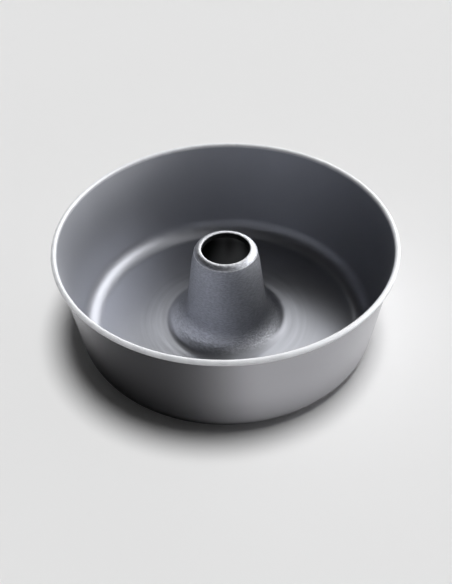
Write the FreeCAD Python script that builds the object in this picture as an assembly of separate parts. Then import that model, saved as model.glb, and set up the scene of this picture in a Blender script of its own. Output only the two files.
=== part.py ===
import FreeCAD, Part
import math
import os
from FreeCAD import Vector

# A ring cake tin, pressed from one round blank of sheet steel.
# Sizes are in millimetres. The tin stands on z = 0 with +Z up through its tube,
# and the origin is the centre of its underside.
# Every surface is round about +Z, so the whole tin is one section of sheet turned once around.
# The section is drawn with x as the distance from the axis, on the side that the cake touches,
# and the sheet's thickness is then laid on its other side.

# Sheet
SHEET = 0.8

# Rim: the edge of the wall curls outwards and under into a thin round bead
RIM_RADIUS = 120.0
HEIGHT = 81.4
BEAD_RADIUS = 1.85
BEAD_TURN = 298.0

# Wall and floor, with the rounding between them as it is inside the tin
WALL_LEAN = 6.6
CORNER_ROUND = 14.5

# Foot: the tube flares out into a gentle slope, which runs out into the flat floor
FOOT_RADIUS = 45.7
FOOT_SLOPE = 18.0
FOOT_ROUND = 40.0
ROOT_ROUND = 13.5

# Mouth: the sheet folds over and turns down into a short straight collar
MOUTH_RADIUS = 17.0
MOUTH_HEIGHT = 69.0
LIP_ROUND = 1.4
COLLAR_LENGTH = 3.0

# Shoulder: it falls away from the mouth, and ends in a crease a little lower down
CREASE_RADIUS = 22.6
CREASE_DROP = 2.8
CREASE_ROUND = 1.0
SHOULDER_TOP_SLOPE = 18.0
SHOULDER_LOW_SLOPE = 52.0
SHOULDER_ROUND = 5.5

# Tube: a cone drawn up from the floor, which leans in more at its short neck under the crease
TUBE_LEAN = 7.5
NECK_LEAN = 12.3
NECK_LENGTH = 8.9
NECK_ROUND = 60.0


def towards(angle):
    """A step of 1 mm in the section, at an angle in degrees above the outward direction."""
    turn = math.radians(angle)
    return Vector(math.cos(turn), 0, math.sin(turn))


def meet(p, p_angle, q, q_angle):
    """The point where the line through p at p_angle crosses the line through q at q_angle."""
    along = towards(p_angle)
    across = towards(q_angle + 90)
    return p + along * ((q - p).dot(across) / along.dot(across))


def crease_point():
    """The crease under the shoulder."""
    return Vector(CREASE_RADIUS, 0, MOUTH_HEIGHT - CREASE_DROP)


def neck_point():
    """The lower end of the neck, where the long cone begins."""
    return crease_point() + towards(NECK_LEAN - 90) * NECK_LENGTH


def tube_corners():
    """The mouth's collar, its lip, the shoulder, the crease and the neck, with their roundings."""
    lip_centre = Vector(MOUTH_RADIUS + LIP_ROUND, 0, MOUTH_HEIGHT - LIP_ROUND)
    collar_end = Vector(MOUTH_RADIUS, 0, lip_centre.z - COLLAR_LENGTH)
    lip_side = lip_centre + towards(90 - SHOULDER_TOP_SLOPE) * LIP_ROUND
    lip = meet(collar_end, 90, lip_side, -SHOULDER_TOP_SLOPE)
    shoulder = meet(lip_side, -SHOULDER_TOP_SLOPE, crease_point(), -SHOULDER_LOW_SLOPE)
    mouth = [(collar_end, 0), (lip, LIP_ROUND), (shoulder, SHOULDER_ROUND)]
    return mouth + [(crease_point(), CREASE_ROUND), (neck_point(), NECK_ROUND)]


def foot_corners():
    """The foot: the cone's root, and the end of the slope where it runs out into the floor."""
    foot = Vector(FOOT_RADIUS, 0, SHEET)
    root = meet(neck_point(), TUBE_LEAN - 90, foot, -FOOT_SLOPE)
    return [(root, ROOT_ROUND), (foot, FOOT_ROUND)]


def bead_centre():
    """The middle of the round bead in the section."""
    return Vector(RIM_RADIUS - BEAD_RADIUS, 0, HEIGHT - BEAD_RADIUS)


def wall_corners():
    """The rounded corner of the floor, and the top of the wall where the bead's curl begins."""
    wall_top = bead_centre() + towards(180 - WALL_LEAN) * BEAD_RADIUS
    corner = meet(wall_top, 90 - WALL_LEAN, Vector(0, 0, SHEET), 0)
    return [(corner, CORNER_ROUND), (wall_top, 0)]


def other_side(corners):
    """The same run of corners on the sheet's other side, one thickness away."""
    points = [point for point, rounding in corners]
    steps = [(b - a).normalize() for a, b in zip(points, points[1:])]
    # On the way from the mouth to the rim the metal lies to the right.
    rights = [Vector(step.z, 0, -step.x) for step in steps]
    moved = [(points[0] + rights[0] * SHEET, 0)]
    for i in range(1, len(points) - 1):
        turn = steps[i - 1].x * steps[i].z - steps[i - 1].z * steps[i].x
        mitre = rights[i - 1] + rights[i]
        point = points[i] + mitre * (2 * SHEET / mitre.dot(mitre))
        # An outer rounding gets smaller on the other side, and an inner one gets larger.
        rounding = corners[i][1] + math.copysign(SHEET, turn)
        moved.append((point, rounding))
    moved.append((points[-1] + rights[-1] * SHEET, 0))
    return moved


def rounded_run(corners):
    """Lines from the first corner to the last, with a true arc at each corner in between."""
    edges = []
    start = corners[0][0]
    for i in range(1, len(corners) - 1):
        point, rounding = corners[i]
        back = (corners[i - 1][0] - point).normalize()
        ahead = (corners[i + 1][0] - point).normalize()
        half = back.getAngle(ahead) / 2
        inward = (back + ahead).normalize()
        arc_start = point + back * (rounding / math.tan(half))
        arc_end = point + ahead * (rounding / math.tan(half))
        arc_middle = point + inward * (rounding / math.sin(half) - rounding)
        edges.append(Part.LineSegment(start, arc_start).toShape())
        edges.append(Part.Arc(arc_start, arc_middle, arc_end).toShape())
        start = arc_end
    edges.append(Part.LineSegment(start, corners[-1][0]).toShape())
    return edges


def curl(radius):
    """One side of the bead's curl, from the top of the wall over, out, down and back under."""
    centre = bead_centre()
    first = 180 - WALL_LEAN
    start = centre + towards(first) * radius
    middle = centre + towards(first - BEAD_TURN / 2) * radius
    end = centre + towards(first - BEAD_TURN) * radius
    return Part.Arc(start, middle, end).toShape(), end


def sheet_section():
    """The closed outline of the sheet, from the mouth's collar to the end of the bead."""
    cake_side = tube_corners() + foot_corners() + wall_corners()
    under_side = other_side(cake_side)
    outer_curl, outer_end = curl(BEAD_RADIUS)
    inner_curl, inner_end = curl(BEAD_RADIUS - SHEET)
    edges = rounded_run(cake_side)
    edges.append(outer_curl)
    edges.append(Part.LineSegment(outer_end, inner_end).toShape())
    edges.append(inner_curl)
    edges.extend(reversed(rounded_run(under_side)))
    edges.append(Part.LineSegment(under_side[0][0], cake_side[0][0]).toShape())
    return Part.Face(Part.Wire(edges))


def ring_tin():
    """The whole tin: the section turned once around the axis."""
    return sheet_section().revolve(Vector(0, 0, 0), Vector(0, 0, 1), 360)


tin = ring_tin()
os.makedirs("parts", exist_ok=True)
tin.exportStep("parts/ring_tin.step")
print("ring_tin:", len(tin.Solids), "solid, valid", tin.isValid())
print("volume", round(tin.Volume, 1), "mm3, box", tin.BoundBox)
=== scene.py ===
# %% [markdown]
# # A ring cake tin in satin grey coated steel
# The tin is one round blank of sheet metal, pressed into a floor, a flared wall and a hollow tube,
# with its edge curled into a bead. Everything on it is round about one upright axis.
# This lesson draws the section of that sheet once, turns it around the axis, gives it a coating
# with a fine grain, and lights it like a small studio table.
# Lengths are in metres, +Z is up, and the tin stands on z = 0. An azimuth is counted in degrees
# from +X, which is at the right, over +Y, which is at the back.

import math

import bpy
from mathutils import Matrix, Vector


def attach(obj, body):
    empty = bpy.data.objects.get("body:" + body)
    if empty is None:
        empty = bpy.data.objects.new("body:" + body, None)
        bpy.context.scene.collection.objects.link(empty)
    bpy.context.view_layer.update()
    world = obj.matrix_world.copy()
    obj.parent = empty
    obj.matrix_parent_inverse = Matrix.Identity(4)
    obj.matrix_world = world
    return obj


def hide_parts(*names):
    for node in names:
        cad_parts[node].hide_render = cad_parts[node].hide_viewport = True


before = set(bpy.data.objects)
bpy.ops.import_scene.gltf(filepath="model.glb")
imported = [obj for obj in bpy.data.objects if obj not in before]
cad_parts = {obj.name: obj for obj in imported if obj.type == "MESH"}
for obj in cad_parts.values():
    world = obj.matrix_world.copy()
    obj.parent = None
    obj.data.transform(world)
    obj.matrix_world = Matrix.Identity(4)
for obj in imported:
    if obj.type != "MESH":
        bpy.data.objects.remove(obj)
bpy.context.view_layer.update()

# %% [markdown]
# ## The section of the sheet
# A press gives sheet metal smooth bends, and a bend is an arc. So the section is a run of straight
# lines with a rounding at each corner, drawn on the side that the cake touches. The other side is
# the same run moved by the sheet's thickness, where an outer rounding is smaller and an inner one
# larger. A spline would be quicker to draw, but its bends would not have one even radius, and on a
# satin surface the highlights would show it.
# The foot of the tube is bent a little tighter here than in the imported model, by two millimetres at
# most, because light runs over the real foot in that way. Every other bend is the same in both.

# %% Sizes of the section
MM = 0.001
SHEET = 0.8 * MM

RIM_RADIUS = 120.0 * MM
HEIGHT = 81.4 * MM
BEAD_RADIUS = 1.85 * MM
BEAD_TURN = 298.0

WALL_LEAN = 6.6
CORNER_ROUND = 14.5 * MM

FOOT_RADIUS = 44.0 * MM
FOOT_SLOPE = 28.0
FOOT_ROUND = 12.0 * MM
ROOT_ROUND = 16.0 * MM

MOUTH_RADIUS = 17.0 * MM
MOUTH_HEIGHT = 69.0 * MM
LIP_ROUND = 1.4 * MM
COLLAR_LENGTH = 3.0 * MM

CREASE_RADIUS = 22.6 * MM
CREASE_DROP = 2.8 * MM
CREASE_ROUND = 1.0 * MM
SHOULDER_TOP_SLOPE = 18.0
SHOULDER_LOW_SLOPE = 52.0
SHOULDER_ROUND = 5.5 * MM

TUBE_LEAN = 7.5
NECK_LEAN = 12.3
NECK_LENGTH = 8.9 * MM
NECK_ROUND = 60.0 * MM
print("width and height in mm:", round(2 * RIM_RADIUS / MM, 1), round(HEIGHT / MM, 1))


# %% Helpers for points in the section
def towards(angle):
    """A unit step in the section, at an angle in degrees above the outward direction."""
    turn = math.radians(angle)
    return Vector((math.cos(turn), 0, math.sin(turn)))


def meet(p, p_angle, q, q_angle):
    """The point where the line through p at p_angle crosses the line through q at q_angle."""
    along = towards(p_angle)
    across = towards(q_angle + 90)
    return p + along * ((q - p).dot(across) / along.dot(across))


def in_mm(points):
    """Points of the section as pairs of millimetres, for printing."""
    return [(round(p.x / MM, 2), round(p.z / MM, 2)) for p in points]


print("a step up the wall:", [round(v, 3) for v in towards(90 - WALL_LEAN)])

# %% Corners on the side that the cake touches
lip_centre = Vector((MOUTH_RADIUS + LIP_ROUND, 0, MOUTH_HEIGHT - LIP_ROUND))
collar_end = Vector((MOUTH_RADIUS, 0, lip_centre.z - COLLAR_LENGTH))
lip_side = lip_centre + towards(90 - SHOULDER_TOP_SLOPE) * LIP_ROUND
crease = Vector((CREASE_RADIUS, 0, MOUTH_HEIGHT - CREASE_DROP))
lip = meet(collar_end, 90, lip_side, -SHOULDER_TOP_SLOPE)
shoulder = meet(lip_side, -SHOULDER_TOP_SLOPE, crease, -SHOULDER_LOW_SLOPE)
neck = crease + towards(NECK_LEAN - 90) * NECK_LENGTH
foot = Vector((FOOT_RADIUS, 0, SHEET))
root = meet(neck, TUBE_LEAN - 90, foot, -FOOT_SLOPE)
bead_centre = Vector((RIM_RADIUS - BEAD_RADIUS, 0, HEIGHT - BEAD_RADIUS))
wall_top = bead_centre + towards(180 - WALL_LEAN) * BEAD_RADIUS
corner = meet(wall_top, 90 - WALL_LEAN, Vector((0, 0, SHEET)), 0)

cake_side = [
    (collar_end, 0), (lip, LIP_ROUND), (shoulder, SHOULDER_ROUND), (crease, CREASE_ROUND),
    (neck, NECK_ROUND), (root, ROOT_ROUND), (foot, FOOT_ROUND),
    (corner, CORNER_ROUND), (wall_top, 0),
]
print("corners of the section in mm:", in_mm(point for point, rounding in cake_side))


# %% The other side of the sheet
def other_side(corners):
    """The same run of corners, one thickness of sheet away."""
    points = [point for point, rounding in corners]
    steps = [(b - a).normalized() for a, b in zip(points, points[1:])]
    rights = [Vector((s.z, 0, -s.x)) for s in steps]
    moved = [(points[0] + rights[0] * SHEET, 0)]
    for i in range(1, len(points) - 1):
        turn = steps[i - 1].x * steps[i].z - steps[i - 1].z * steps[i].x
        mitre = rights[i - 1] + rights[i]
        point = points[i] + mitre * (2 * SHEET / mitre.dot(mitre))
        moved.append((point, corners[i][1] + math.copysign(SHEET, turn)))
    moved.append((points[-1] + rights[-1] * SHEET, 0))
    return moved


under_side = other_side(cake_side)
print("corners of the other side in mm:", in_mm(point for point, rounding in under_side))


# %% Lines and arcs as points
ARC_STEP = 3.0
FEWEST_STEPS = 3
CURL_STEP = 6.0


def rounded_run(corners):
    """Points along the run, with an arc of short steps at each corner."""
    points = [corners[0][0]]
    for i in range(1, len(corners) - 1):
        point, rounding = corners[i]
        back = (corners[i - 1][0] - point).normalized()
        ahead = (corners[i + 1][0] - point).normalized()
        half = back.angle(ahead) / 2
        centre = point + (back + ahead).normalized() * (rounding / math.sin(half))
        first = point + back * (rounding / math.tan(half)) - centre
        last = point + ahead * (rounding / math.tan(half)) - centre
        bend = first.angle(last)
        count = max(FEWEST_STEPS, round(math.degrees(bend) / ARC_STEP))
        for k in range(count + 1):
            share = k / count
            spoke = first * math.sin((1 - share) * bend) + last * math.sin(share * bend)
            points.append(centre + spoke / math.sin(bend))
    points.append(corners[-1][0])
    return points


def curl(radius):
    """Points along one side of the bead's curl, from the wall over, out, down and back under."""
    first = 180 - WALL_LEAN
    count = round(BEAD_TURN / CURL_STEP)
    return [bead_centre + towards(first - BEAD_TURN * k / count) * radius for k in range(count + 1)]


cake_points = rounded_run(cake_side) + curl(BEAD_RADIUS)[1:]
under_points = curl(BEAD_RADIUS - SHEET)[::-1] + rounded_run(under_side)[::-1][1:]
print("points on the two sides:", len(cake_points), len(under_points))

# %% [markdown]
# ## Two cut edges
# The sheet ends twice: at the bottom of the mouth's collar and inside the bead. A cut edge in sheet
# metal is never a perfect corner, because the coating and the deburring round it a little. Each
# corner is taken off by 0.15 mm, which is enough for a thin line of light. A Bevel modifier could do
# it too, but it would need weights on these four corners, and here three points a corner are plain.

# %% Cut edges
EDGE_BREAK = 0.15 * MM


def broken(before, edge, after):
    """An edge with its corner taken off, as three points."""
    first = edge + (before - edge).normalized() * EDGE_BREAK
    last = edge + (after - edge).normalized() * EDGE_BREAK
    middle = (first + edge * 2 + last) / 4
    return [first, middle, last]


collar = broken(under_points[-1], cake_points[0], cake_points[1])
collar_back = broken(under_points[-2], under_points[-1], cake_points[0])
bead_end = broken(cake_points[-2], cake_points[-1], under_points[0])
bead_end_back = broken(cake_points[-1], under_points[0], under_points[1])
cake_points = collar + cake_points[1:-1] + bead_end
under_points = bead_end_back + under_points[1:-1] + collar_back
outline = cake_points + under_points
print("points round the section:", len(outline))

# %% [markdown]
# ## Turning the section into the tin
# A lathe or a spinning chuck makes round things, and Blender's Screw modifier is its lathe: it turns
# a line of edges around an axis. It keeps the section editable, which a finished mesh would not.
# Two hundred and forty steps keep the rim round even in a close view. A value on each point says
# which side of the sheet it is on, and the lathe carries it around for the coating to use.

# %% The tin
TURNS = 240
MERGE_REACH = 0.01 * MM

section_mesh = bpy.data.meshes.new("ring_tin_section")
loop = [(i, (i + 1) % len(outline)) for i in range(len(outline))]
section_mesh.from_pydata([tuple(p) for p in outline], loop, [])
inside = section_mesh.attributes.new("cake_side", "FLOAT", "POINT")
inside.data.foreach_set("value", [1.0] * len(cake_points) + [0.0] * len(under_points))
tin = bpy.data.objects.new("pressed_ring_tin", section_mesh)
bpy.context.scene.collection.objects.link(tin)
lathe = tin.modifiers.new("Lathe", "SCREW")
lathe.axis = "Z"
lathe.angle = math.tau
lathe.steps = TURNS
lathe.render_steps = TURNS
lathe.use_merge_vertices = True
lathe.merge_threshold = MERGE_REACH
lathe.use_smooth_shade = True
lathe.use_normal_calculate = True

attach(tin, "root")
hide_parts("ring_tin")
turned = tin.evaluated_get(bpy.context.evaluated_depsgraph_get()).to_mesh()
print("faces of the tin:", len(turned.polygons))
print("values carried round:", [a.name for a in turned.attributes])

# %% [markdown]
# ## Nodes that are used again and again
# A shader is a small machine, and most of its parts are sums. These helpers put one node down and
# give back its output, so that the recipe of a surface reads from top to bottom like a text. Nodes
# placed by hand in the editor would look the same, but their numbers would be hard to find again.

# %% Helpers for numbers in a shader
def put(tree, value, socket):
    """Join an output to a socket, or write a plain value into it."""
    if isinstance(value, bpy.types.NodeSocket):
        tree.links.new(value, socket)
    else:
        socket.default_value = value


def calc(tree, operation, *values):
    """The result of one Math node."""
    step = tree.nodes.new("ShaderNodeMath")
    step.operation = operation
    for socket, value in zip(step.inputs, values):
        put(tree, value, socket)
    return step.outputs["Value"]


def ramp(tree, value, start, end, low=0.0, high=1.0):
    """A smooth change from low to high while the value goes from start to end."""
    step = tree.nodes.new("ShaderNodeMapRange")
    step.interpolation_type = "SMOOTHSTEP"
    put(tree, value, step.inputs["Value"])
    step.inputs["From Min"].default_value = start
    step.inputs["From Max"].default_value = end
    step.inputs["To Min"].default_value = low
    step.inputs["To Max"].default_value = high
    return step.outputs["Result"]


print("helpers for numbers:", [helper.__name__ for helper in (put, calc, ramp)])


# %% Helpers for places in a shader
def parts(tree, place):
    """The x, y and z of a place."""
    step = tree.nodes.new("ShaderNodeSeparateXYZ")
    put(tree, place, step.inputs["Vector"])
    return step.outputs["X"], step.outputs["Y"], step.outputs["Z"]


def vector(tree, x, y, z):
    """A place made from three numbers."""
    step = tree.nodes.new("ShaderNodeCombineXYZ")
    put(tree, x, step.inputs["X"])
    put(tree, y, step.inputs["Y"])
    put(tree, z, step.inputs["Z"])
    return step.outputs["Vector"]


def stretched(tree, place, x, y, z):
    """The place with each direction multiplied by its own number."""
    step = tree.nodes.new("ShaderNodeVectorMath")
    step.operation = "MULTIPLY"
    put(tree, place, step.inputs[0])
    step.inputs[1].default_value = (x, y, z)
    return step.outputs["Vector"]


def scaled(tree, place, amount):
    """The place, or the colour, multiplied by one number."""
    step = tree.nodes.new("ShaderNodeVectorMath")
    step.operation = "SCALE"
    put(tree, place, step.inputs[0])
    put(tree, amount, step.inputs["Scale"])
    return step.outputs["Vector"]


def from_axis(tree, x, y):
    """The distance from the tin's axis."""
    squares = calc(tree, "ADD", calc(tree, "MULTIPLY", x, x), calc(tree, "MULTIPLY", y, y))
    return calc(tree, "SQRT", squares)


print("helpers for places:", [helper.__name__ for helper in (parts, vector, stretched, scaled, from_axis)])


# %% Helpers for noise and colour
# The Mix node has sockets for every kind of value. These three are the ones for colours.
MIX_FIRST = 6
MIX_SECOND = 7
MIX_RESULT = 2


def noise(tree, place, detail):
    """Soft noise between 0 and 1, with lumps about one unit of the place wide."""
    step = tree.nodes.new("ShaderNodeTexNoise")
    put(tree, place, step.inputs["Vector"])
    step.inputs["Scale"].default_value = 1.0
    step.inputs["Detail"].default_value = detail
    return step.outputs["Fac"]


def grey(level):
    """A neutral colour from one number."""
    return (level, level, level, 1)


def mixed(tree, share, first, second):
    """A colour between two colours."""
    step = tree.nodes.new("ShaderNodeMix")
    step.data_type = "RGBA"
    put(tree, share, step.inputs["Factor"])
    put(tree, first, step.inputs[MIX_FIRST])
    put(tree, second, step.inputs[MIX_SECOND])
    return step.outputs[MIX_RESULT]


print("helpers for noise and colour:", [helper.__name__ for helper in (noise, grey, mixed)])


# %% Helpers for node groups
def new_group(name, inputs, outputs):
    """An empty node group with named inputs and outputs."""
    group = bpy.data.node_groups.new(name, "ShaderNodeTree")
    for label, kind in inputs:
        group.interface.new_socket(label, in_out="INPUT", socket_type=kind)
    for label in outputs:
        group.interface.new_socket(label, in_out="OUTPUT", socket_type="NodeSocketFloat")
    return group, group.nodes.new("NodeGroupInput"), group.nodes.new("NodeGroupOutput")


def use_group(tree, group, **values):
    """A node group placed in a material, with its own values."""
    step = tree.nodes.new("ShaderNodeGroup")
    step.node_tree = group
    for label, value in values.items():
        put(tree, value, step.inputs[label.replace("_", " ")])
    return step


print("helpers for groups:", [helper.__name__ for helper in (new_group, use_group)])

# %% [markdown]
# ## A fine grain for the tin and the table
# A sprayed coating dries with a skin of tiny lumps, and painted board has much the same. Both get it
# from one node group, each with its own sizes in metres, so the grain keeps its true scale. The
# group also gives wide soft clouds, because no real surface is equally clean and thick all over.
# An image of a surface would repeat and blur close up, and this noise does neither.

# %% Fine grain
FLOAT = "NodeSocketFloat"
PLACE = "NodeSocketVector"
GRAIN_DETAIL = 2.0
CLOUD_DETAIL = 3.0

grain_group, grain_in, grain_out = new_group(
    "fine_grain", [("Place", PLACE), ("Grain Size", FLOAT), ("Cloud Size", FLOAT)], ["Grain", "Cloud"])
layers = [("Grain Size", "Grain", GRAIN_DETAIL), ("Cloud Size", "Cloud", CLOUD_DETAIL)]
for size, label, detail in layers:
    lumps_per_metre = calc(grain_group, "DIVIDE", 1.0, grain_in.outputs[size])
    lumps = scaled(grain_group, grain_in.outputs["Place"], lumps_per_metre)
    put(grain_group, noise(grain_group, lumps, detail), grain_out.inputs[label])
print("inputs of the grain:", [s.name for s in grain_group.interface.items_tree if s.in_out == "INPUT"])

# %% [markdown]
# ## A mask for worn edges with a painted highlight
# Pans are stacked and gripped by their edges, so the coat on the bead, the lip and the crease is
# rubbed paler and more matt than the rest. The pale colour there is also a painted highlight, for the
# bright line that these tight bends catch. Each is a ring, so a ring's radius, its height and a
# reach say where it is. A mask from the mesh's own sharpness would follow the mesh and not the
# object, and would change with it.

# %% Ring mask
FULL_WITHIN = 0.85
NONE_BEYOND = 1.25

ring_group, ring_in, ring_out = new_group(
    "near_a_ring",
    [("Place", PLACE), ("Ring Radius", FLOAT), ("Ring Height", FLOAT), ("Reach", FLOAT)],
    ["Mask"])
ring_x, ring_y, ring_z = parts(ring_group, ring_in.outputs["Place"])
ring_distance = from_axis(ring_group, ring_x, ring_y)
off_side = calc(ring_group, "SUBTRACT", ring_distance, ring_in.outputs["Ring Radius"])
off_height = calc(ring_group, "SUBTRACT", ring_z, ring_in.outputs["Ring Height"])
away = from_axis(ring_group, off_side, off_height)
in_reach = calc(ring_group, "DIVIDE", away, ring_in.outputs["Reach"])
near = ramp(ring_group, in_reach, FULL_WITHIN, NONE_BEYOND, 1.0, 0.0)
put(ring_group, near, ring_out.inputs["Mask"])
print("inputs of the ring mask:", [s.name for s in ring_group.interface.items_tree if s.in_out == "INPUT"])

# %% [markdown]
# ## The coating
# Bakeware like this has a thin satin coating baked on over bright steel. Light passes it, meets the
# metal and comes back soft and grey, so the surface is metallic, with a wide gloss and a little blue.
# Painting it on an unwrapped mesh would leave seams, so every mark on it is worked out from the
# place on the tin instead: its distance from the axis, its height and its side of the sheet.

# %% Coated sheet: where a point is
coated = bpy.data.materials.new("coated_sheet")
coated.use_nodes = True
tree = coated.node_tree
shader = tree.nodes["Principled BSDF"]
place = tree.nodes.new("ShaderNodeTexCoord").outputs["Object"]
x, y, z = parts(tree, place)
radius = from_axis(tree, x, y)
side = tree.nodes.new("ShaderNodeAttribute")
side.attribute_name = "cake_side"
on_cake_side = side.outputs["Fac"]
print("nodes that say where a point is:", len(tree.nodes))

# %% [markdown]
# ## The traces of making it
# The floor of the blank stays smooth while the press draws the wall and the tube out of it, so the
# drawn parts turn rougher, and the corner between floor and wall is half way there. The tube is
# drawn hardest: its coat has a pebbled skin with flat marks around it. The floor near the tube keeps
# faint waves, like those that a turning tool leaves. Each trace is a noise and a mask for where it
# lies. Modelled lumps this small would need millions of faces.

# %% Coated sheet: grain and drawn parts
GRAIN_SIZE = 0.9 * MM
CLOUD_SIZE = 45 * MM
DRAWN_FULL = 9 * MM
CORNER_START = 97 * MM
CORNER_END = 102 * MM
CORNER_DRAWN = 0.6
MOUTH_FADE_START = 0.2 * MM
MOUTH_FADE_END = 0.9 * MM

grain = use_group(tree, grain_group, Place=place, Grain_Size=GRAIN_SIZE, Cloud_Size=CLOUD_SIZE)
past_mouth = ramp(tree, radius, MOUTH_RADIUS + MOUTH_FADE_START, MOUTH_RADIUS + MOUTH_FADE_END)
drawn_up = ramp(tree, z, SHEET, DRAWN_FULL)
drawn_corner = ramp(tree, radius, CORNER_START, CORNER_END, 0.0, CORNER_DRAWN)
drawn = calc(tree, "MULTIPLY", calc(tree, "MAXIMUM", drawn_up, drawn_corner), on_cake_side)
print("grain in mm:", round(GRAIN_SIZE / MM, 2), "clouds in mm:", round(CLOUD_SIZE / MM, 1))

# %% Coated sheet: the pebbled skin of the tube
PEBBLES_PER_METRE_AROUND = 430
PEBBLES_PER_METRE_UP = 1300
PEBBLE_DETAIL = 2.0
PEBBLE_LOW = 0.3
PEBBLE_HIGH = 0.7
SKIN_FULL = 38 * MM
SKIN_GONE = 44 * MM

pebble_place = stretched(
    tree, place, PEBBLES_PER_METRE_AROUND, PEBBLES_PER_METRE_AROUND, PEBBLES_PER_METRE_UP)
pebbles = ramp(tree, noise(tree, pebble_place, PEBBLE_DETAIL), PEBBLE_LOW, PEBBLE_HIGH)
on_tube = calc(tree, "MULTIPLY", ramp(tree, radius, SKIN_FULL, SKIN_GONE, 1.0, 0.0), on_cake_side)
print("a pebble is", round(1000 / PEBBLES_PER_METRE_AROUND, 1), "mm wide and",
      round(1000 / PEBBLES_PER_METRE_UP, 1), "mm high")

# %% Coated sheet: the turned waves of the floor
WAVES_PER_METRE = 230
WAVE_DETAIL = 1.0
WAVES_START = 40 * MM
WAVES_FULL = 46 * MM
WAVES_FADE = 58 * MM
WAVES_GONE = 74 * MM

around_x = calc(tree, "DIVIDE", x, radius)
around_y = calc(tree, "DIVIDE", y, radius)
wave_place = vector(tree, calc(tree, "MULTIPLY", radius, WAVES_PER_METRE), around_x, around_y)
waves = noise(tree, wave_place, WAVE_DETAIL)
on_waves = ramp(tree, radius, WAVES_START, WAVES_FULL)
on_waves = calc(tree, "MULTIPLY", on_waves, ramp(tree, radius, WAVES_FADE, WAVES_GONE, 1.0, 0.0))
on_waves = calc(tree, "MULTIPLY", on_waves, on_cake_side)
print("a wave is", round(1000 / WAVES_PER_METRE, 1), "mm from the next")

# %% [markdown]
# ## Worn edges with a painted highlight
# The ring mask is placed three times, for the bead, the lip and the crease, each with its own reach
# and strength, and it carries both their wear and a painted highlight on them. A wider noise makes the
# wear patchy, because nothing rubs evenly all the way around.

# %% Coated sheet: worn edges with a painted highlight
BEAD_REACH = 2.0 * MM
BEAD_WEAR_AND_HIGHLIGHT = 1.0
LIP_REACH = 1.4 * MM
LIP_WEAR_AND_HIGHLIGHT = 0.9
CREASE_REACH = 0.5 * MM
CREASE_WEAR_AND_HIGHLIGHT = 0.5
PATCHES_PER_METRE = 160
PATCH_DETAIL = 2.0
PATCH_LOW = 0.3
PATCH_HIGH = 0.6
PATCH_LEAST = 0.85

rings = [
    (bead_centre, BEAD_REACH, BEAD_WEAR_AND_HIGHLIGHT),
    (lip_centre, LIP_REACH, LIP_WEAR_AND_HIGHLIGHT),
    (crease, CREASE_REACH, CREASE_WEAR_AND_HIGHLIGHT),
]
edges = 0.0
for centre, reach, wear_and_highlight_share in rings:
    ring = use_group(
        tree, ring_group, Place=place, Ring_Radius=centre.x, Ring_Height=centre.z, Reach=reach)
    edges = calc(tree, "ADD", edges, calc(tree, "MULTIPLY", ring.outputs["Mask"], wear_and_highlight_share))
patch_place = stretched(tree, place, PATCHES_PER_METRE, PATCHES_PER_METRE, PATCHES_PER_METRE)
patchy = ramp(tree, noise(tree, patch_place, PATCH_DETAIL), PATCH_LOW, PATCH_HIGH, PATCH_LEAST, 1.0)
wear_and_highlight = calc(tree, "MULTIPLY", calc(tree, "MULTIPLY", edges, patchy), past_mouth)
print("rubbed rings in mm:", in_mm(centre for centre, reach, wear_and_highlight_share in rings))

# %% [markdown]
# ## Colour
# The inside is a pale bluish grey and the outside a darker one. The hollow of the tube is nearly
# black, as painted shade in that deep, narrow hole. Where the coat is rubbed it turns pale and
# chalky, and there the surface is hardly metallic; that pale colour on the bead, the lip and the crease
# is also a painted highlight. The pebbles and the waves tint the colour too, lighter on a crest and
# darker in a pit, as painted shading of their relief, which alone would hardly show on a surface
# this matt.

# %% Coated sheet: colour
# The hollow's colour is painted shade: nearly black for the deep hole of the tube.
HOLLOW_SHADE_COLOUR = (0.040, 0.041, 0.043, 1)
# The outside is a darker grey than the inside.
OUTSIDE_COLOUR = (0.372, 0.370, 0.392, 1)
INSIDE_COLOUR = (0.436, 0.446, 0.482, 1)
# The pale colour of the worn edges is partly wear and partly a painted highlight.
WORN_HIGHLIGHT_COLOUR = (0.820, 0.828, 0.850, 1)
HOLLOW_SHADE_FULL = 26 * MM
HOLLOW_SHADE_GONE = 44 * MM
WORN_HIGHLIGHT_MATT = 0.8

# Painted shade: the under side of the sheet near the axis, in the tube's hollow, goes nearly black.
tone = mixed(tree, ramp(tree, radius, HOLLOW_SHADE_FULL, HOLLOW_SHADE_GONE), HOLLOW_SHADE_COLOUR, OUTSIDE_COLOUR)
tone = mixed(tree, calc(tree, "MULTIPLY", on_cake_side, past_mouth), tone, INSIDE_COLOUR)
# Wear and painted highlight: the bead, the lip and the crease turn pale and chalky.
tone = mixed(tree, wear_and_highlight, tone, WORN_HIGHLIGHT_COLOUR)
metal = calc(tree, "SUBTRACT", 1.0, calc(tree, "MULTIPLY", wear_and_highlight, WORN_HIGHLIGHT_MATT))
put(tree, metal, shader.inputs["Metallic"])
print("nodes with the colours:", len(tree.nodes))

# %% Coated sheet: clouds and painted shading of the relief
THINNEST = 0.92
CLOUD_TONE = 0.16
PEBBLE_TONE = 0.32
WAVE_TONE = 0.4
MIDDLE = 0.5

clouds_and_relief_shade = calc(tree, "ADD", THINNEST, calc(tree, "MULTIPLY", grain.outputs["Cloud"], CLOUD_TONE))
# Painted shading of the relief: pebbles and waves lighter on a crest, darker in a pit.
for marks, where, strength in ((pebbles, on_tube, PEBBLE_TONE), (waves, on_waves, WAVE_TONE)):
    crests = calc(tree, "MULTIPLY", calc(tree, "SUBTRACT", marks, MIDDLE), where)
    clouds_and_relief_shade = calc(tree, "ADD", clouds_and_relief_shade, calc(tree, "MULTIPLY", crests, strength))
put(tree, scaled(tree, tone, clouds_and_relief_shade), shader.inputs["Base Color"])
print("nodes with the thickness:", len(tree.nodes))

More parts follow.
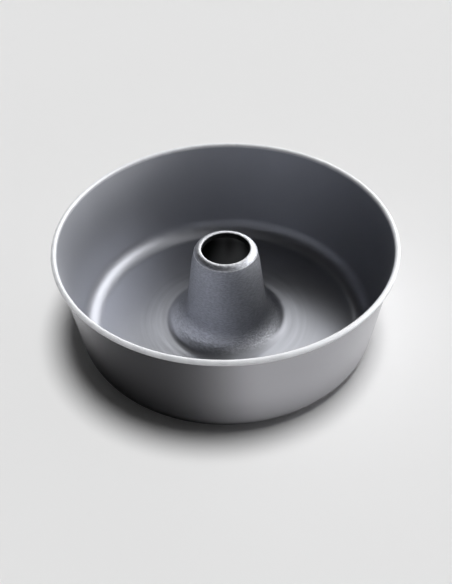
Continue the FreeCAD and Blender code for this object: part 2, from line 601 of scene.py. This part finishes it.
# %% [markdown]
# ## Gloss and relief
# Gloss is one number, the roughness: low on the outside, higher on the floor, and highest on the
# drawn parts and on the worn edges with their painted highlight. Relief is one height for the Bump
# node: grain, pebbles and waves added together. The pebbles are flatter low down on the foot than on
# the tube, as on the real tin.
# Displacement would move real faces for the same look, and would cost a far finer mesh.

# %% Coated sheet: gloss
OUTSIDE_ROUGHNESS = 0.24
FLOOR_ROUGHNESS = 0.33
DRAWN_EXTRA = 0.16
CLOUD_EXTRA = 0.04
WORN_HIGHLIGHT_EXTRA = 0.12

gloss = calc(tree, "ADD", OUTSIDE_ROUGHNESS, calc(tree, "MULTIPLY", drawn, DRAWN_EXTRA))
gloss = calc(tree, "ADD", gloss, calc(tree, "MULTIPLY", on_cake_side, FLOOR_ROUGHNESS - OUTSIDE_ROUGHNESS))
gloss = calc(tree, "ADD", gloss, calc(tree, "MULTIPLY", grain.outputs["Cloud"], CLOUD_EXTRA))
gloss = calc(tree, "ADD", gloss, calc(tree, "MULTIPLY", wear_and_highlight, WORN_HIGHLIGHT_EXTRA))
put(tree, gloss, shader.inputs["Roughness"])
print("roughness of the drawn parts:", round(FLOOR_ROUGHNESS + DRAWN_EXTRA, 2))

# %% Coated sheet: relief
GRAIN_HEIGHT = 0.004
PEBBLE_HEIGHT = 0.17
WAVE_HEIGHT = 0.15
FLAT_BELOW = 0.5 * MM
RAISED_ABOVE = 8 * MM
FLAT_SHARE = 0.35

relief = calc(tree, "MULTIPLY", grain.outputs["Grain"], GRAIN_HEIGHT)
pebbled = calc(tree, "MULTIPLY", on_tube, ramp(tree, z, FLAT_BELOW, RAISED_ABOVE, FLAT_SHARE, 1.0))
for marks, where, rise in ((pebbles, pebbled, PEBBLE_HEIGHT), (waves, on_waves, WAVE_HEIGHT)):
    relief = calc(tree, "ADD", relief, calc(tree, "MULTIPLY", calc(tree, "MULTIPLY", marks, where), rise))
bump = tree.nodes.new("ShaderNodeBump")
bump.inputs["Distance"].default_value = MM
put(tree, relief, bump.inputs["Height"])
put(tree, bump.outputs["Normal"], shader.inputs["Normal"])
section_mesh.materials.append(coated)
print("nodes in the coating:", len(tree.nodes))

# %% [markdown]
# ## The table
# The tin stands on a wide pale board without an edge in view, as in a small product studio. It is a
# plain square, because nothing of it shows but its colour and the tin's shadow. It lies a hair, 0.02
# mm, under the tin, since two surfaces at exactly one height flicker where they meet.

# %% Table
TABLE_HALF = 4.0
TABLE_DROP = 0.02 * MM

table_mesh = bpy.data.meshes.new("table")
turns = [(-1, -1), (1, -1), (1, 1), (-1, 1)]
table_corners = [(TABLE_HALF * a, TABLE_HALF * b, -TABLE_DROP) for a, b in turns]
table_mesh.from_pydata(table_corners, [], [(0, 1, 2, 3)])
table = bpy.data.objects.new("table", table_mesh)
bpy.context.scene.collection.objects.link(table)
print("width of the table in m:", 2 * TABLE_HALF)

# %% [markdown]
# ## The board's paint
# Its paint is matt, with the same kind of grain as the coating but finer and fainter, so it takes
# the same node group with its own sizes. A flat colour would do from far away, but close up it would
# look like paper cut out with scissors.

# %% Painted board
TABLE_TONE = 0.78
BOARD_UNEVEN = 0.01
BOARD_GRAIN = 0.7 * MM
BOARD_CLOUDS = 180 * MM
BOARD_GRAIN_HEIGHT = 0.01 * MM
BOARD_ROUGHNESS_LOW = 0.85
BOARD_ROUGHNESS_HIGH = 0.95

painted = bpy.data.materials.new("painted_board")
painted.use_nodes = True
board = painted.node_tree
board_shader = board.nodes["Principled BSDF"]
board_place = board.nodes.new("ShaderNodeTexCoord").outputs["Object"]
board_grain = use_group(
    board, grain_group, Place=board_place, Grain_Size=BOARD_GRAIN, Cloud_Size=BOARD_CLOUDS)
board_cloud = board_grain.outputs["Cloud"]
paint = mixed(board, board_cloud, grey(TABLE_TONE - BOARD_UNEVEN), grey(TABLE_TONE + BOARD_UNEVEN))
board_gloss = ramp(board, board_cloud, 0.0, 1.0, BOARD_ROUGHNESS_LOW, BOARD_ROUGHNESS_HIGH)
put(board, board_gloss, board_shader.inputs["Roughness"])
board_bump = board.nodes.new("ShaderNodeBump")
board_bump.inputs["Distance"].default_value = BOARD_GRAIN_HEIGHT
put(board, board_grain.outputs["Grain"], board_bump.inputs["Height"])
put(board, board_bump.outputs["Normal"], board_shader.inputs["Normal"])
table_mesh.materials.append(painted)
print("nodes in the paint:", len(board.nodes))

# %% [markdown]
# ## A painted dark reflection
# A shiny wall over a pale table mirrors the table and washes out. Studios lay a black card beside
# such a thing, just out of view, and the metal gets a dark side that shows its form. The real tin's
# outer wall is dark at the front left, so a dark patch with soft edges is painted into the board's
# colour there, for glossy rays only: it is a painted dark reflection that the metal sees, while the
# camera and the shadow meet the pale board. No card is modelled, since a card as a piece of its own
# would show in every other view.

# %% Painted dark reflection
PAINTED_DARK_AZIMUTH = math.radians(232)
PAINTED_DARK_TONE = 0.09
PAINTED_DARK_START = 0.60
PAINTED_DARK_FULL = 1.02
PAINTED_DARK_NEAR = 170 * MM
PAINTED_DARK_FAR = 240 * MM

board_x, board_y = parts(board, board_place)[:2]
board_radius = from_axis(board, board_x, board_y)
along_x = calc(board, "MULTIPLY", board_x, math.cos(PAINTED_DARK_AZIMUTH))
along_y = calc(board, "MULTIPLY", board_y, math.sin(PAINTED_DARK_AZIMUTH))
towards_painted_dark = calc(board, "DIVIDE", calc(board, "ADD", along_x, along_y), board_radius)
# Painted dark reflection: a dark patch on the board towards the front left, seen by glossy rays only.
painted_dark_reflection = ramp(board, towards_painted_dark, PAINTED_DARK_START, PAINTED_DARK_FULL)
painted_dark_reflection = calc(board, "MULTIPLY", painted_dark_reflection, ramp(board, board_radius, PAINTED_DARK_NEAR, PAINTED_DARK_FAR, 1.0, 0.0))
board_rays = board.nodes.new("ShaderNodeLightPath")
painted_dark_reflection = calc(board, "MULTIPLY", painted_dark_reflection, board_rays.outputs["Is Glossy Ray"])
put(board, mixed(board, painted_dark_reflection, paint, grey(PAINTED_DARK_TONE)), board_shader.inputs["Base Color"])
print("the card lies towards azimuth", round(math.degrees(PAINTED_DARK_AZIMUTH)))

# %% [markdown]
# ## Light for the table
# A matt board shows the light that falls on it, and a metal shows what stands around it. So the two
# are set apart here. One broad lamp, nearly straight above and a little to the right, lights the
# board and throws a soft shadow close around the tin. Its own mirror image would put a white patch
# on the metal that the real studio did not have, so glossy rays pass it by.

# %% Lamp over the table
LAMP_AZIMUTH = 0.0
LAMP_ELEVATION = 83.0
LAMP_WIDTH = 20.0
LAMP_LEVEL = 0.92


def sky_direction(azimuth, elevation):
    """A direction by its azimuth, counted from +X towards +Y, and its elevation, in degrees."""
    a = math.radians(azimuth)
    e = math.radians(elevation)
    return Vector((math.cos(a) * math.cos(e), math.sin(a) * math.cos(e), math.sin(e)))


lamp = bpy.data.lights.new("overhead_lamp", "SUN")
lamp.angle = math.radians(LAMP_WIDTH)
lamp.energy = LAMP_LEVEL * math.pi / math.sin(math.radians(LAMP_ELEVATION))
overhead = bpy.data.objects.new("overhead_lamp", lamp)
overhead.rotation_euler = sky_direction(LAMP_AZIMUTH, LAMP_ELEVATION).to_track_quat("Z", "Y").to_euler()
overhead.visible_glossy = False
bpy.context.scene.collection.objects.link(overhead)
print("strength of the lamp:", round(lamp.energy, 2))

# %% [markdown]
# ## What the metal sees
# The rest of the studio is painted on the world as three smooth lights: pale walls that glow along
# the horizon, brighter on the right, one long softbox above them at the back right, and a weak light
# high up at the right. Each is a hill over elevation times a hill over azimuth, a few numbers that
# are easy to change. Large area lamps would do the same but cost more noise.

# %% World: directions
world = bpy.data.worlds.new("studio")
bpy.context.scene.world = world
world.use_nodes = True
world.cycles.sampling_method = "NONE"
studio = world.node_tree
towards_sky = studio.nodes.new("ShaderNodeTexCoord").outputs["Generated"]
sky_x, sky_y, sky_z = parts(studio, towards_sky)
height_angle = calc(studio, "DEGREES", calc(studio, "ARCSINE", sky_z))
level_length = from_axis(studio, sky_x, sky_y)


def facing(azimuth):
    """How far a direction turns to an azimuth: 1 towards it and -1 away from it."""
    a = math.radians(azimuth)
    along_x = calc(studio, "MULTIPLY", sky_x, math.cos(a))
    along_y = calc(studio, "MULTIPLY", sky_y, math.sin(a))
    return calc(studio, "DIVIDE", calc(studio, "ADD", along_x, along_y), level_length)


def hill(middle, half, power):
    """A hill over elevation, 1 at its middle, which falls off past its half width."""
    off = calc(studio, "DIVIDE", calc(studio, "SUBTRACT", height_angle, middle), half)
    off = calc(studio, "ABSOLUTE", off)
    return calc(studio, "EXPONENT", calc(studio, "MULTIPLY", calc(studio, "POWER", off, power), -1.0))


def glow(level, azimuth, one_sided):
    """A light all around the axis, with its full level at one azimuth and less the other way."""
    turned = calc(studio, "ADD", 1.0, calc(studio, "MULTIPLY", facing(azimuth), one_sided))
    return calc(studio, "MULTIPLY", calc(studio, "MAXIMUM", turned, 0.0), level / (1 + one_sided))


print("nodes that say where a ray goes:", len(studio.nodes))

# %% World: walls and ceiling light
SOFT_HILL = 2.0
WALLS_LEVEL = 5.0
WALLS_RISE = 11.5
WALLS_SIDE = 3.0
WALLS_AZIMUTH = 32.0
CEILING_LEVEL = 0.7
CEILING_ELEVATION = 70.0
CEILING_HALF = 16.0
CEILING_SIDE = 3.0
CEILING_AZIMUTH = 20.0

walls = glow(WALLS_LEVEL, WALLS_AZIMUTH, WALLS_SIDE)
walls = calc(studio, "MULTIPLY", walls, hill(0.0, WALLS_RISE, SOFT_HILL))
ceiling = glow(CEILING_LEVEL, CEILING_AZIMUTH, CEILING_SIDE)
ceiling = calc(studio, "MULTIPLY", ceiling, hill(CEILING_ELEVATION, CEILING_HALF, SOFT_HILL))
print("the walls glow up to", WALLS_RISE, "degrees, the ceiling light hangs at", CEILING_ELEVATION)

# %% World: softbox
FLAT_HILL = 4.0
SOFTBOX_LEVEL = 6.2
SOFTBOX_ELEVATION = 25.8
SOFTBOX_HALF = 21.0
SOFTBOX_AZIMUTH = 39.0
SOFTBOX_SPREAD = -0.28

softbox = calc(studio, "MAXIMUM", calc(studio, "ADD", facing(SOFTBOX_AZIMUTH), SOFTBOX_SPREAD), 0.0)
softbox = calc(studio, "MULTIPLY", softbox, SOFTBOX_LEVEL / (1 + SOFTBOX_SPREAD))
softbox = calc(studio, "MULTIPLY", softbox, hill(SOFTBOX_ELEVATION, SOFTBOX_HALF, FLAT_HILL))
reach_around = math.degrees(math.acos(-SOFTBOX_SPREAD))
print("the softbox reaches", round(reach_around), "degrees to each side of azimuth", SOFTBOX_AZIMUTH)

# %% [markdown]
# ## Who sees what
# Light Path tells the world which kind of ray asks. The camera gets a plain backdrop as pale as the
# table, and the board gets only a weak even fill, so its shadow stays deep. The metal gets the three
# lights. One picture of a studio for all of them would be simpler, but then every change to a
# reflection would change the shadow and the backdrop as well.

# %% World: rays
DARK_LEVEL = 0.02
FILL_LEVEL = 0.05

level = calc(studio, "ADD", calc(studio, "ADD", walls, softbox), calc(studio, "ADD", ceiling, DARK_LEVEL))
rays = studio.nodes.new("ShaderNodeLightPath")
for kind, plain in (("Is Diffuse Ray", FILL_LEVEL), ("Is Camera Ray", TABLE_TONE)):
    keep = calc(studio, "MULTIPLY", level, calc(studio, "SUBTRACT", 1.0, rays.outputs[kind]))
    level = calc(studio, "ADD", keep, calc(studio, "MULTIPLY", rays.outputs[kind], plain))
background = studio.nodes["Background"]
put(studio, level, background.inputs["Strength"])
background.inputs["Color"].default_value = grey(1.0)
bpy.context.scene.view_settings.view_transform = "Standard"
print("nodes in the world:", len(studio.nodes))

# %% [markdown]
# ## The camera
# The camera stands where the real one stood. Its place comes from the ellipses that the rim and the
# mouth make in a picture: how flat they are gives the height, and how the far side of the rim
# shrinks against the near side gives the distance. It looks a little above the middle of the tin's
# base and leans by about one degree, as a camera in the hand does. A Track To constraint would aim
# it too, but it knows no lean.

# %% Camera
CAMERA_AZIMUTH = 270
CAMERA_ELEVATION = 44.60
CAMERA_DISTANCE = 0.5814
CAMERA_LENS = 46.73
SENSOR_WIDTH = 36
PITCH = 0.0338
YAW = -0.0005
ROLL = -0.0195

camera_place = sky_direction(CAMERA_AZIMUTH, CAMERA_ELEVATION) * CAMERA_DISTANCE
ahead = -camera_place.normalized()
right = ahead.cross(Vector((0, 0, 1))).normalized()
up = right.cross(ahead)
ahead = (ahead + right * math.tan(YAW) + up * math.tan(PITCH)).normalized()
right = (right - ahead * right.dot(ahead)).normalized()
up = right.cross(ahead)
camera_right = right * math.cos(ROLL) + up * math.sin(ROLL)
camera_up = up * math.cos(ROLL) - right * math.sin(ROLL)

camera_data = bpy.data.cameras.new("camera")
camera_data.lens = CAMERA_LENS
camera_data.sensor_width = SENSOR_WIDTH
camera = bpy.data.objects.new("camera", camera_data)
bpy.context.scene.collection.objects.link(camera)
turn = Matrix((camera_right, camera_up, -ahead)).transposed()
camera.matrix_world = Matrix.Translation(camera_place) @ turn.to_4x4()
bpy.context.scene.camera = camera
print("camera at", [round(v, 4) for v in camera_place])
